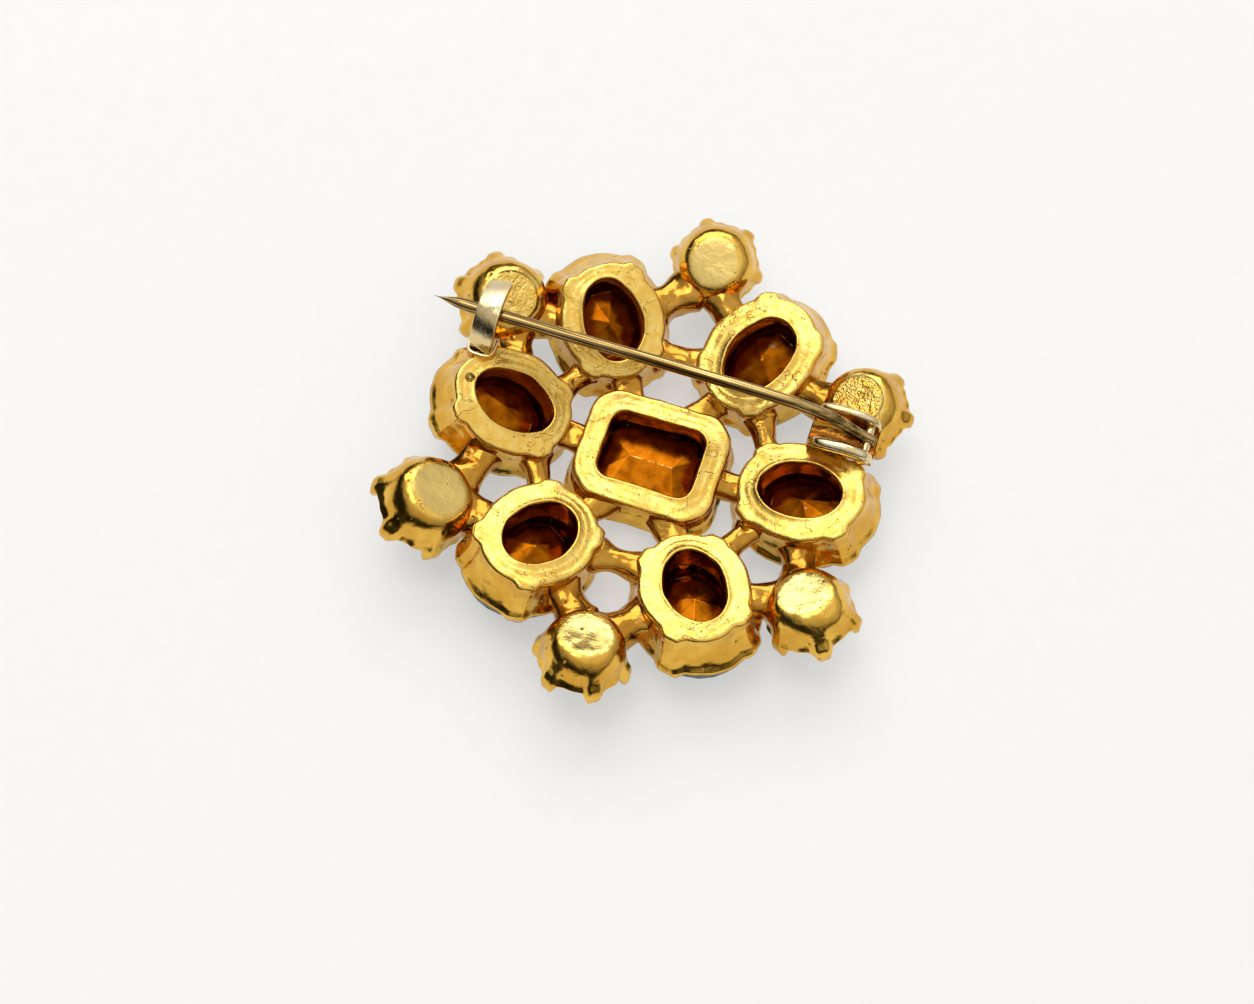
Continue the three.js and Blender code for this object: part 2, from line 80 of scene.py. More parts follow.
WIRE_RADIUS = 0.47
STEM_Y = 5.13
STEM_Z = CENTRE_BACK + 5.2
RIVET_X = 15.5
RIVET_Z = CENTRE_BACK + 2.9
CATCH_X = -14.7
CATCH_LINE = ((2.5, 1.7), (2.6, 2.9), (3.0, 4.4), (3.9, 5.5), (5.1, 5.95), (6.6, 5.8), (7.8, 5.2))

# ---- Sizes that only the visible shapes have ------------------------------------------------

# Each setting's own size, as a share of the size above.
OVAL_SIZES = ((1.02, 1.0), (1.0, 1.0), (0.93, 0.98), (0.98, 1.0), (1.0, 1.0), (0.98, 1.0))
CUP_SIZES = (1.0, 0.98, 1.06, 1.1, 1.0, 1.0)

# The finish of each cup's disc: 1.04 is polished, 1.4 and 1.6 are crumpled.
CUP_DISCS = (1.6, 1.04, 1.4, 1.04, 1.04, 1.04)

CENTRE_CLAW_DEPTH = 4.1
CENTRE_LUG_ANGLES = (45, 135, 225, 315)
CENTRE_LUG_OUT = 0.1
CENTRE_LEDGE = 0.28
CENTRE_OPENING_CORNER = 0.7
CENTRE_CORNER = 1.7
OVAL_CROWN_DEPTH = 4.95
CUP_STONE_PLAY = 0.3

# Bars: how far each reaches between the middles of what it joins, then its section.
RING_BAR = {"reach": (0.29, 0.71), "width": 2.0, "height": 1.7, "fillet": 1.6, "swell": 0.5}
CENTRE_BAR = {"reach": (0.43, 0.9), "width": 2.6, "height": 1.7, "fillet": 1.9, "swell": 0.35}
CUP_BAR = {"reach": (0.15, 0.65), "width": 3.0, "height": 2.7, "fillet": 1.5, "swell": 0.3}
# The bars' mark in the ground attribute: below 0, so they take a share of the painted dark brown shade.
BAR_PAINTED_SHADE = -0.46


# ---- Camera, light and floor ----------------------------------------------------------------

CAMERA_AZIMUTH = 13.0
CAMERA_ELEVATION = 68.4
CAMERA_ROLL = 5.0
CAMERA_AIM = (-0.69, -3.83, 2.98)
CAMERA_DISTANCE = 169.2
CAMERA_LENS = 63.16
SKY_STOPS = ((0, 0.015), (0.28, 0.02), (0.42, 0.32), (0.55, 0.58), (0.75, 0.66), (0.9, 1.0), (1, 0.88))
HORIZON_STOPS = ((0, 0.65), (0.07, 0.5), (0.16, 0.0))
FLOOR_HALF = 1.5


def make_camera():
    azimuth, elevation, roll = (math.radians(a) for a in (CAMERA_AZIMUTH, CAMERA_ELEVATION, CAMERA_ROLL))
    back = Vector((
        math.sin(azimuth) * math.cos(elevation),
        -math.cos(azimuth) * math.cos(elevation),
        math.sin(elevation),
    ))
    level = Vector((math.cos(azimuth), math.sin(azimuth), 0))
    right = Matrix.Rotation(roll, 3, back) @ level
    up = back.cross(right)
    data = bpy.data.cameras.new("camera")
    data.sensor_width = 36
    data.lens = CAMERA_LENS
    data.clip_start = 0.01
    camera = bpy.data.objects.new("camera", data)
    bpy.context.collection.objects.link(camera)
    turn = Matrix((right, up, back)).transposed().to_4x4()
    place = Matrix.Translation((Vector(CAMERA_AIM) + back * CAMERA_DISTANCE) * MM)
    camera.matrix_world = place @ turn
    bpy.context.scene.camera = camera


def area_light(name, place, aim, size, power, colour=(1, 1, 1)):
    data = bpy.data.lights.new(name, "AREA")
    data.shape = "RECTANGLE"
    data.size, data.size_y = size
    data.energy = power
    data.color = colour
    lamp = bpy.data.objects.new(name, data)
    bpy.context.collection.objects.link(lamp)
    lamp.location = place
    lamp.rotation_euler = (Vector(place) - Vector(aim)).to_track_quat("Z", "Y").to_euler()


def make_world():
    world = bpy.data.worlds.new("studio")
    bpy.context.scene.world = world
    world.use_nodes = True
    tree = world.node_tree
    background = tree.nodes["Background"]
    coordinates = tree.nodes.new("ShaderNodeTexCoord")
    towards = tree.nodes.new("ShaderNodeVectorMath")
    towards.operation = "DOT_PRODUCT"
    towards.inputs[1].default_value = Vector((0.25, 0.15, 0.95)).normalized()
    tree.links.new(coordinates.outputs["Generated"], towards.inputs[0])
    sky = world_ramp(tree, towards.outputs["Value"], SKY_STOPS)
    parts = tree.nodes.new("ShaderNodeSeparateXYZ")
    tree.links.new(coordinates.outputs["Generated"], parts.inputs[0])
    horizon = world_ramp(tree, parts.outputs["Z"], HORIZON_STOPS)
    both = tree.nodes.new("ShaderNodeMix")
    both.data_type = "RGBA"
    both.blend_type = "LIGHTEN"
    both.inputs["Factor"].default_value = 1.0
    tree.links.new(sky, both.inputs[6])
    tree.links.new(horizon, both.inputs[7])
    tree.links.new(both.outputs[2], background.inputs["Color"])
    background.inputs["Strength"].default_value = 0.95


def world_ramp(tree, value, stops):
    """A grey ramp through (position, brightness) stops, warm where it is dark."""
    ramp = tree.nodes.new("ShaderNodeValToRGB")
    elements = ramp.color_ramp.elements
    elements[1].position = stops[-1][0]
    for position, _ in stops[1:-1]:
        elements.new(position)
    for element, (position, level) in zip(elements, stops):
        element.position = position
        element.color = (level, level * 0.97, level * 0.94, 1)
    tree.links.new(value, ramp.inputs[0])
    return ramp.outputs["Color"]


def make_floor():
    mesh = bpy.data.meshes.new("floor")
    corners = [(x * FLOOR_HALF, y * FLOOR_HALF, 0) for x, y in ((-1, -1), (1, -1), (1, 1), (-1, 1))]
    mesh.from_pydata(corners, [], [(0, 1, 2, 3)])
    floor = bpy.data.objects.new("floor", mesh)
    bpy.context.collection.objects.link(floor)
    floor.data.materials.append(floor_material())


# ---- Material helpers -----------------------------------------------------------------------

class Nodes:
    """A short way to add and link shader nodes in one material."""

    def __init__(self, name):
        self.material = bpy.data.materials.new(name)
        self.material.use_nodes = True
        self.tree = self.material.node_tree
        self.shader = self.tree.nodes["Principled BSDF"]

    def add(self, kind, inputs=None, **settings):
        node = self.tree.nodes.new("ShaderNode" + kind)
        for key, value in settings.items():
            setattr(node, key, value)
        for key, value in (inputs or {}).items():
            self.put(node.inputs[key], value)
        return node

    def put(self, socket, value):
        if isinstance(value, bpy.types.NodeSocket):
            self.tree.links.new(value, socket)
        else:
            socket.default_value = value

    def math(self, operation, a, b=0.0):
        return self.add("Math", {0: a, 1: b}, operation=operation).outputs[0]

    def millimetres(self, stretch=(1, 1, 1)):
        coordinates = self.add("TexCoord").outputs["Object"]
        scale = tuple(1000 * s for s in stretch)
        return self.add("VectorMath", {0: coordinates, 1: scale}, operation="MULTIPLY").outputs[0]

    def noise(self, where, scale, detail=3.0, roughness=0.55):
        inputs = {"Vector": where, "Scale": scale, "Detail": detail, "Roughness": roughness}
        return self.add("TexNoise", inputs).outputs["Fac"]

    def span(self, value, low, high, to_low=0.0, to_high=1.0):
        inputs = {0: value, 1: low, 2: high, 3: to_low, 4: to_high}
        return self.add("MapRange", inputs, clamp=True, interpolation_type="SMOOTHSTEP").outputs[0]

    def blend(self, share, a, b):
        node = self.add("Mix", {"Factor": share}, data_type="RGBA")
        self.put(node.inputs[6], a)
        self.put(node.inputs[7], b)
        return node.outputs[2]

    def bump(self, height, strength, distance, normal=None):
        inputs = {"Height": height, "Strength": strength, "Distance": distance}
        if normal is not None:
            inputs["Normal"] = normal
        return self.add("Bump", inputs).outputs[0]


def floor_material():
    nodes = Nodes("floor_paper")
    where = nodes.millimetres()
    grain = nodes.noise(where, 0.6, 4)
    colour = nodes.blend(grain, (0.49, 0.49, 0.47, 1), (0.52, 0.52, 0.50, 1))
    nodes.put(nodes.shader.inputs["Base Color"], colour)
    nodes.shader.inputs["Roughness"].default_value = 0.8
    nodes.shader.inputs["Specular IOR Level"].default_value = 0.2
    nodes.shader.inputs["Emission Color"].default_value = (1, 1, 1, 1)
    nodes.shader.inputs["Emission Strength"].default_value = 0.47
    return nodes.material


def pits(nodes, where, scale, share, size):
    """Small round pits in some of a Voronoi pattern's cells: 1 inside a pit."""
    cells = nodes.add("TexVoronoi", {"Vector": where, "Scale": scale})
    near = nodes.math("DIVIDE", cells.outputs["Distance"], size)
    spot = nodes.span(near, 0.35, 1.0, 1, 0)
    draw = nodes.add("SeparateColor", {0: cells.outputs["Color"]}).outputs[0]
    chosen = nodes.math("LESS_THAN", draw, share)
    return nodes.math("MULTIPLY", spot, chosen)


def scratches(nodes, direction, scale):
    """Fine lines along one direction of the back's plane: 1 on a line."""
    where = nodes.millimetres()
    turned = nodes.add("VectorRotate", {"Vector": where, "Angle": math.radians(direction)},
                       rotation_type="Z_AXIS").outputs[0]
    drawn = nodes.add("VectorMath", {0: turned, 1: (0.12, 1, 1)}, operation="MULTIPLY").outputs[0]
    return nodes.span(nodes.noise(drawn, scale, 2), 0.60, 0.70)


# Casting flaws: where each is on the brooch and its radius, in millimetres.
FLAWS = (
    (-14.72, 0.4, 7.58, 0.46),
    (-16.2, 9.2, 7.75, 0.36),
    (-0.49, -15.74, 6.58, 0.17),
)


def flaws(nodes, where):
    """Larger pits at their own places: 1 in the middle of one, 0 outside."""
    total = 0.0
    for x, y, z, radius in FLAWS:
        away = nodes.add("VectorMath", {0: where, 1: (x, y, z)}, operation="DISTANCE").outputs["Value"]
        total = nodes.math("MAXIMUM", total, nodes.span(away, 0.0, radius, 1, 0))
    return total


def cast_gold():
    """Yellow gold plate on a cast frame.

    The "ground" attribute is 1 on ground faces, a little more on polished discs and more still on
    crumpled ones, 0 on the walls, under 0 on the bars and -1 inside the wells. Below 0 it paints
    shade: a dark brown laid over the gold, part-way on the bars and fully in the wells.
    """
    nodes = Nodes("cast_gold")
    where = nodes.millimetres()
    mark = nodes.add("Attribute", attribute_name="ground").outputs["Fac"]
    ground = nodes.span(mark, 0.0, 1.0)
    crumpled = nodes.span(mark, 1.05, 1.6)
    polished = nodes.math("SUBTRACT", nodes.span(mark, 1.0, 1.04), nodes.span(mark, 1.05, 1.2))
    # Painted shade: 1 where the ground attribute is well below 0, inside the wells.
    well_shade = nodes.span(mark, -0.9, -0.1, 1.0, 0.0)
    patches = nodes.noise(where, 0.45, 4)
    cloudy = nodes.noise(where, 1.3, 4)
    deep = nodes.blend(nodes.span(patches, 0.35, 0.7), (0.66, 0.35, 0.045, 1), (0.84, 0.51, 0.085, 1))
    pale = nodes.blend(nodes.span(cloudy, 0.35, 0.7), (0.88, 0.55, 0.10, 1), (0.95, 0.68, 0.19, 1))
    pale = nodes.blend(polished, pale, (0.97, 0.71, 0.23, 1))
    gold = nodes.blend(ground, deep, pale)
    # Painted shade: dark brown laid over the gold in the wells and, in part, on the bars.
    gold = nodes.blend(well_shade, gold, (0.27, 0.075, 0.008, 1))
    walls = nodes.math("SUBTRACT", 1.0, ground)
    size = nodes.math("ADD", nodes.math("MULTIPLY", walls, 0.07), 0.10)
    holes = pits(nodes, where, 1.15, 0.34, size)
    dots = pits(nodes, where, 2.9, 0.16, 0.15)
    dark = nodes.math("MAXIMUM", holes, nodes.math("MULTIPLY", dots, 0.6))
    edges = nodes.math("ABSOLUTE", nodes.math("SUBTRACT", nodes.noise(where, 0.42, 3), 0.5))
    creases = nodes.math("MULTIPLY", nodes.span(edges, 0.001, 0.006, 1, 0), nodes.span(patches, 0.45, 0.55))
    creases = nodes.math("MULTIPLY", creases, nodes.math("SUBTRACT", ground, polished))
    dark = nodes.math("MAXIMUM", dark, creases)
    gold = nodes.blend(nodes.math("MULTIPLY", dark, 0.6), gold, (0.26, 0.12, 0.02, 1))
    nodes.put(nodes.shader.inputs["Base Color"], gold)
    nodes.shader.inputs["Metallic"].default_value = 1.0
    lines = nodes.math("MAXIMUM", scratches(nodes, 35, 5), scratches(nodes, -20, 6))
    lines = nodes.math("MULTIPLY", lines, nodes.math("SUBTRACT", ground, polished))
    rough = nodes.span(cloudy, 0.3, 0.75, 0.12, 0.22)
    rough = nodes.math("ADD", rough, nodes.math("MULTIPLY", ground, 0.09))
    rough = nodes.math("ADD", rough, nodes.math("MULTIPLY", lines, 0.08))
    rough = nodes.math("SUBTRACT", rough, nodes.math("MULTIPLY", polished, 0.05))
    nodes.put(nodes.shader.inputs["Roughness"], rough)
    waves = nodes.bump(nodes.noise(where, 0.7, 2), 0.4, 0.00014)
    dents = nodes.bump(nodes.noise(where, 1.7, 2), 0.35, 0.00006, waves)
    satin = nodes.math("MULTIPLY", nodes.noise(where, 6.5, 3), ground)
    grain = nodes.bump(satin, 0.35, 0.00003, dents)
    folds = nodes.math("MULTIPLY", nodes.noise(where, 1.6, 3, 0.65), crumpled)
    crushed = nodes.bump(folds, 1.0, 0.00035, grain)
    sunk = nodes.bump(nodes.math("MULTIPLY", dark, -1.0), 0.8, 0.00006, crushed)
    holed = nodes.bump(nodes.math("MULTIPLY", flaws(nodes, where), -1.0), 1.0, 0.00035, sunk)
    marked = nodes.bump(nodes.math("MULTIPLY", lines, -1.0), 0.3, 0.00001, holed)
    nodes.put(nodes.shader.inputs["Normal"], marked)
    return nodes.material


def worn_gold(name, dull_from):
    """Findings whose gold has worn pale, with small dents, duller past one height in Y."""
    nodes = Nodes(name)
    where = nodes.millimetres()
    worn = nodes.span(nodes.noise(where, 0.9, 4), 0.35, 0.65)
    colour = nodes.blend(worn, (0.80, 0.60, 0.26, 1), (0.80, 0.69, 0.45, 1))
    spots = pits(nodes, where, 1.6, 0.25, 0.11)
    colour = nodes.blend(nodes.math("MULTIPLY", spots, 0.7), colour, (0.12, 0.08, 0.03, 1))
    nodes.put(nodes.shader.inputs["Base Color"], colour)
    nodes.shader.inputs["Metallic"].default_value = 1.0
    rough = nodes.span(nodes.noise(where, 3.0, 4), 0.3, 0.7, 0.14, 0.27)
    dull = nodes.span(nodes.add("SeparateXYZ", {0: where}).outputs[1], dull_from - 0.4, dull_from + 0.6)
    rough = nodes.math("ADD", rough, nodes.math("MULTIPLY", dull, 0.25))
    nodes.put(nodes.shader.inputs["Roughness"], rough)
    waves = nodes.bump(nodes.noise(where, 1.6, 3), 0.35, 0.00008)
    sunk = nodes.bump(nodes.math("MULTIPLY", spots, -1.0), 0.8, 0.00005, waves)
    nodes.put(nodes.shader.inputs["Normal"], sunk)
    return nodes.material


def drawn_brass():
    """Drawn wire: dark and bright streaks run along it, partly drawing marks and partly painted reflections.
    """
    nodes = Nodes("drawn_brass")
    along = nodes.millimetres((0.035, 1, 1))
    streak_and_reflection = nodes.noise(along, 2.6, 4)
    fine = nodes.noise(along, 9.0, 3)
    # Partly painted reflection: the dark and bright streak colours stand in for reflections along the wire.
    brass = nodes.blend(nodes.span(streak_and_reflection, 0.35, 0.65), (0.11, 0.06, 0.014, 1), (0.58, 0.40, 0.15, 1))
    nodes.put(nodes.shader.inputs["Base Color"], brass)
    nodes.shader.inputs["Metallic"].default_value = 1.0
    nodes.put(nodes.shader.inputs["Roughness"], nodes.span(fine, 0.3, 0.7, 0.12, 0.24))
    nodes.put(nodes.shader.inputs["Normal"], nodes.bump(fine, 0.18, 0.00003))
    return nodes.material


def amber_foil():
    """Amber lacquer over foil on the stones' backs, chipped to grey here and there."""
    nodes = Nodes("amber_foil")
    where = nodes.millimetres()
    cloud = nodes.noise(where, 0.8, 4)
    amber = nodes.blend(nodes.span(cloud, 0.3, 0.7), (0.20, 0.048, 0.001, 1), (0.42, 0.125, 0.003, 1))
    speck = nodes.span(nodes.noise(where, 5.0, 3), 0.62, 0.70)
    amber = nodes.blend(nodes.math("MULTIPLY", speck, 0.35), amber, (0.13, 0.03, 0.001, 1))
    chip = nodes.span(nodes.noise(where, 1.3, 2), 0.745, 0.755)
    colour = nodes.blend(chip, amber, (0.20, 0.23, 0.24, 1))
    nodes.put(nodes.shader.inputs["Base Color"], colour)
    nodes.shader.inputs["Metallic"].default_value = 1.0
    nodes.put(nodes.shader.inputs["Roughness"], nodes.span(cloud, 0.3, 0.7, 0.13, 0.26))
    nodes.shader.inputs["Specular Tint"].default_value = (0.9, 0.4, 0.05, 1)
    nodes.put(nodes.shader.inputs["Normal"], nodes.bump(nodes.noise(where, 2.2, 2), 0.15, 0.00003))
    return nodes.material


def painted_foil_highlight():
    """Painted highlights on the facet edges: the narrow bevel faces of the foiled back get brighter foil."""
    nodes = Nodes("painted_foil_highlight")
    where = nodes.millimetres()
    highlight_share = nodes.span(nodes.noise(where, 1.4, 3), 0.42, 0.6)
    # Painted highlight: the edge colour runs from amber to bright gold.
    colour = nodes.blend(highlight_share, (0.45, 0.13, 0.004, 1), (0.95, 0.62, 0.16, 1))
    nodes.put(nodes.shader.inputs["Base Color"], colour)
    nodes.shader.inputs["Metallic"].default_value = 1.0
    nodes.put(nodes.shader.inputs["Roughness"], nodes.span(highlight_share, 0, 1, 0.25, 0.4))
    return nodes.material


def teal_glass():
    """Dark teal green glass on the stones' fronts."""
    nodes = Nodes("teal_glass")
    where = nodes.millimetres()
    depth = nodes.noise(where, 0.35, 2)
    colour = nodes.blend(nodes.span(depth, 0.3, 0.7), (0.003, 0.03, 0.028, 1), (0.01, 0.08, 0.07, 1))
    nodes.put(nodes.shader.inputs["Base Color"], colour)
    rub = nodes.noise(where, 2.2, 4)
    nodes.put(nodes.shader.inputs["Roughness"], nodes.span(rub, 0.4, 0.8, 0.03, 0.14))
    nodes.shader.inputs["IOR"].default_value = 1.5
    return nodes.material


# ---- Mesh helpers ---------------------------------------------------------------------------

def wobble(point, seed, amount, scale):
    """A smooth random offset, the same each run."""
    return noise.noise_vector(point * scale + Vector((seed * 7.3, seed * 3.1, seed * 5.7))) * amount


def bump_at(angle, centres, half_width):
    """1 at each centre angle, falling smoothly to 0 at half_width, all in degrees."""
    best = 0.0
    for centre in centres:
        away = abs((angle - centre + 180) % 360 - 180) / half_width
        if away < 1:
            best = max(best, 1 - smooth(away))
    return best


def plateau_at(angle, centres, inner, outer):
    """1 within inner degrees of a centre angle, falling smoothly to 0 at outer."""
    away = min(abs((angle - centre + 180) % 360 - 180) for centre in centres)
    return 1 - smooth((away - inner) / (outer - inner))


def smooth(t):
    t = min(max(t, 0.0), 1.0)
    return t * t * (3 - 2 * t)


def between(a, b, share):
    return a + (b - a) * share


def loft(rings, closed=False):
    """Points and quads through rings of equal count; open lofts are capped at both ends."""
    count = len(rings[0])
    points = [point for ring in rings for point in ring]
    faces = []
    last = len(rings) if closed else len(rings) - 1
    for r in range(last):
        here = r * count
        there = ((r + 1) % len(rings)) * count
        for i in range(count):
            j = (i + 1) % count
            faces.append((here + i, here + j, there + j, there + i))
    if not closed:
        for start, flip in ((0, True), ((len(rings) - 1) * count, False)):
            middle = sum((points[start + i] for i in range(count)), Vector()) / count
            points.append(middle)
            for i in range(count):
                j = (i + 1) % count
                corner = (start + j, start + i) if flip else (start + i, start + j)
                faces.append((*corner, len(points) - 1))
    return points, faces


def add_piece(name, points, faces, place, materials, nodes, body="frame", ground=None):
    """Make an object from points in millimetres, placed by a matrix in millimetres."""
    mesh = bpy.data.meshes.new(name)
    placed = [place @ Vector(p) for p in points]
    mesh.from_pydata([Vector((p.x, p.y, max(p.z, LOWEST))) * MM for p in placed], [], faces)
    shape = bmesh.new()
    shape.from_mesh(mesh)
    bmesh.ops.recalc_face_normals(shape, faces=shape.faces)
    shape.to_mesh(mesh)
    shape.free()
    for face in mesh.polygons:
        face.use_smooth = True
    # The ground attribute marks ground faces and, below 0, where painted shade goes.
    if ground is not None:
        layer = mesh.attributes.new("ground", "FLOAT", "POINT")
        layer.data.foreach_set("value", ground)
    for material in materials:
        mesh.materials.append(material)
    piece = bpy.data.objects.new(name, mesh)
    bpy.context.collection.objects.link(piece)
    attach(piece, body)
    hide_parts(*nodes)
    return piece


def ring_place(ring, even_angle, shift):
    """Where a setting sits: local +X points outward and local +Z to the back of the brooch."""
    turn, outward, extra_lean = shift
    angle = math.radians(even_angle + turn)
    radius = ring["radius"] + outward
    spot = Matrix.Translation((radius * math.cos(angle), radius * math.sin(angle), ring["z"]))
    lean = Matrix.Rotation(-math.radians(ring["lean"] + extra_lean), 4, "Y")
    return spot @ Matrix.Rotation(angle, 4, "Z") @ lean


def inside(place, inward, height):
    """A point inside a setting, partway from its middle towards the brooch centre."""
    spot = place.to_translation()
    radius = math.hypot(spot.x, spot.y)
    share = (radius - inward) / radius
    return Vector((spot.x * share, spot.y * share, height))


# ---- Outlines -------------------------------------------------------------------------------

AROUND = 192


def ellipse_outline(half_x, half_y):
    return [
        Vector((half_x * math.cos(TAU * i / AROUND), half_y * math.sin(TAU * i / AROUND), 0))
        for i in range(AROUND)
    ]


def octagon_outline(half_x, half_y, corner, rounding=4):
    """Points evenly spaced round an octagon with cut, softly rounded corners."""
    corners = []
    for sx, sy, first_is_side in ((1, 1, True), (-1, 1, False), (-1, -1, True), (1, -1, False)):
        side = Vector((sx * half_x, sy * (half_y - corner), 0))
        end = Vector((sx * (half_x - corner), sy * half_y, 0))
        corners += [side, end] if first_is_side else [end, side]
    start = (corners[0] + corners[-1]) / 2
    path = [start] + corners + [start]
    lengths = [(b - a).length for a, b in zip(path, path[1:])]
    step = sum(lengths) / AROUND
    points = []
    for i in range(AROUND):
        left = i * step
        k = 0
        while left > lengths[k]:
            left -= lengths[k]
            k += 1
        points.append(path[k].lerp(path[k + 1], left / lengths[k]))
    reach = range(-rounding, rounding + 1)
    return [sum((points[(i + k) % AROUND] for k in reach), Vector()) / len(reach) for i in range(AROUND)]


# ---- Open-back settings ---------------------------------------------------------------------

WALL_STEPS = 12
LUG_OUT = 0.42
LUG_HALF_WIDTH = (5, 16)


def open_setting(outline, opening, half, rim_share, rim_depth, claw_depth, lugs, seed,
                 lug_out=LUG_OUT, ledge=0.0):
    """Rings of one open-back setting, from inside its opening, over the back and down to the claws.

    outline(x, y) gives a ring; opening and half are the half sizes of the hole and the back;
    lugs are angles in degrees; ledge is how far the wall's upper part steps in.
    Returns the points, the faces and how far each point is on the ground back face, a share that
    goes under 0 inside the opening, where it paints shade on the well's wall.
    """
    rim = (half[0] * rim_share[0], half[1] * rim_share[1])

    def mixed(a, b, share):
        return (between(a[0], b[0], share), between(a[1], b[1], share))

    def more(size, amount):
        return (size[0] + amount, size[1] + amount)

    # Each row: half sizes, depth, ground share (under 0, painted shade in the well), lug share, claw share.
    rows = [
        (more(opening, 0.5), -rim_depth * 0.78, -1, 0, 0),
        (opening, -rim_depth * 0.75, -1, 0, 0),
        (opening, -rim_depth * 0.5, -1, 0, 0),
        (opening, -rim_depth * 0.25, -1, 0, 0),
        (more(opening, 0.02), -0.32, -0.8, 0, 0),
        (more(opening, 0.05), -0.14, -0.2, 0, 0),
        (more(opening, 0.10), 0.0, 0.2, 0, 0),
        (more(opening, 0.18), 0.06, 0.5, 0, 0),
        (more(opening, 0.27), 0.05, 0.8, 0, 0),
        (more(opening, 0.38), -0.02, 1, 0, 0),
        (mixed(opening, half, 0.42), -0.03, 1, 0, 0),
        (mixed(opening, half, 0.54), -0.04, 1, 0.1, 0),
        (mixed(opening, half, 0.60), -0.08, 1, 0.2, 0),
        (mixed(opening, half, 0.72), -0.07, 1, 0.5, 0),
        (more(half, -0.32), -0.07, 1, 0.8, 0),
        (more(half, -0.2), -0.09, 0.9, 1, 0),
        (more(half, -0.1), -0.14, 0.7, 1, 0),
        (more(half, -0.02), -0.22, 0.4, 1, 0),
        (more(half, 0.04), -0.34, 0.15, 1, 0),
        (more(half, 0.06), -0.5, 0, 1, 0),
    ]
    for k in range(1, WALL_STEPS + 1):
        share = k / WALL_STEPS
        bulge = 0.12 * math.sin(math.pi * share) - 0.10 * smooth((share - 0.8) / 0.12)
        bulge += ledge * (1 - smooth((share - 0.42) / 0.1))
        rows.append((more(mixed(half, rim, share), -bulge), -0.5 - (rim_depth - 0.55) * share, 0, 1, 0))
    rows += [
        (more(rim, 0.0), -rim_depth - 0.02, 0, 1, 0.35),
        (more(rim, -0.04), -rim_depth - 0.08, 0, 0.9, 0.75),
        (more(rim, -0.14), -rim_depth - 0.12, 0, 0.6, 1.0),
        (more(rim, -0.32), -rim_depth - 0.1, 0, 0.1, 1.0),
        (more(rim, -0.42), -rim_depth + 0.0, 0, 0, 0.6),
        (more(rim, -0.6), -rim_depth + 0.12, 0, 0, 0.15),
    ]
    rings = []
    ground = []
    for size, depth, flat, lug, claw in rows:
        ring = []
        for i, point in enumerate(outline(*size)):
            angle = math.degrees(math.atan2(point.y / half[1], point.x / half[0])) % 360
            away = plateau_at(angle, lugs, *LUG_HALF_WIDTH)
            shove = away * lug * lug_out
            outward = Vector((point.x, point.y, 0)).normalized()
            moved = point + outward * shove
            moved -= outward * (0.35 * away * claw)
            ragged = 0.12 * noise.noise(Vector((point.x, point.y, seed * 9.0))) * min(1, claw + 0.2 * lug)
            moved.z = depth - (claw_depth - rim_depth) * claw * away + ragged
            moved += wobble(moved, seed, 0.16, 0.33)
            moved += wobble(moved, seed + 40, 0.055 - 0.04 * max(flat, 0), 1.1)
            ring.append(moved)
            ground.append(flat)
        rings.append(ring)
    points, faces = loft(rings, closed=True)
    return points, faces, ground


# ---- Round cups -----------------------------------------------------------------------------

CUP_PROFILE = (
    # radius, depth, ground share, ridge share, prong share
    (0.5, 0.0, 1, 0, 0),
    (1.1, 0.0, 1, 0, 0),
    (1.6, -0.01, 1, 0, 0),
    (1.85, -0.02, 1, 0, 0),
    (2.05, -0.05, 0.8, 0, 0),
    (2.25, -0.13, 0.4, 0, 0),
    (2.47, -0.28, 0.1, 0, 0),
    (2.7, -0.52, 0, 0, 0),
    (2.9, -0.85, 0, 0, 0),
    (3.04, -1.2, 0, 0.05, 0),
    (3.14, -1.55, 0, 0.15, 0),
    (3.2, -1.9, 0, 0.35, 0.0),
    (3.26, -2.25, 0, 0.65, 0.0),
    (3.34, -2.5, 0, 0.9, 0.0),
    (3.44, -2.72, 0, 1, 0.12),
    (3.5, -2.84, 0, 1, 0.3),
    (3.52, -2.9, 0, 1, 0.5),
    (3.54, -2.94, 0, 1, 0.68),
    (3.54, -2.97, 0, 1, 0.84),
    (3.48, -3.0, 0, 1, 0.95),
    (3.38, -3.01, 0, 0.9, 1.0),
    (3.26, -2.98, 0, 0.8, 0.98),
    (3.16, -2.9, 0, 0.6, 0.8),
    (3.1, -2.7, 0, 0.2, 0.3),
    (1.6, -2.4, 0, 0, 0),
)


def round_cup(seed, size, disc):
    """A closed cup with six prongs; disc is how its back disc is marked in the ground attribute."""
    rings = []
    ground = []
    for radius, depth, flat, ridge, prong in CUP_PROFILE:
        ring = []
        for i in range(AROUND):
            angle = 360 * i / AROUND
            away = plateau_at(angle, CUP_PRONG_ANGLES, 5, 15)
            valley = 1 - bump_at(angle, CUP_PRONG_ANGLES, 30)
            fold = 0.5 - 0.5 * math.cos(math.radians(angle * 18 + 40 * seed))
            out = radius + 0.42 * away * ridge - 0.12 * valley * ridge - 0.07 * fold * ridge
            out -= 0.35 * away * prong * prong
            z = depth - (CUP_PRONG_DEPTH - CUP_RIM_DEPTH) * prong * away
            z += 0.12 * valley * ridge * smooth((-depth - 1.6) / 1.0)
            around = math.radians(angle)
            point = Vector((out * math.cos(around), out * math.sin(around), z)) * size
            point += wobble(point, seed, 0.14, 0.3)
            point += wobble(point, seed + 40, 0.05 - 0.03 * flat, 1.1)
            ring.append(point)
            ground.append(flat * disc)
        rings.append(ring)
    points, faces = loft(rings)
    ground += [disc, 0]
    return points, faces, ground


# ---- Stones ---------------------------------------------------------------------------------

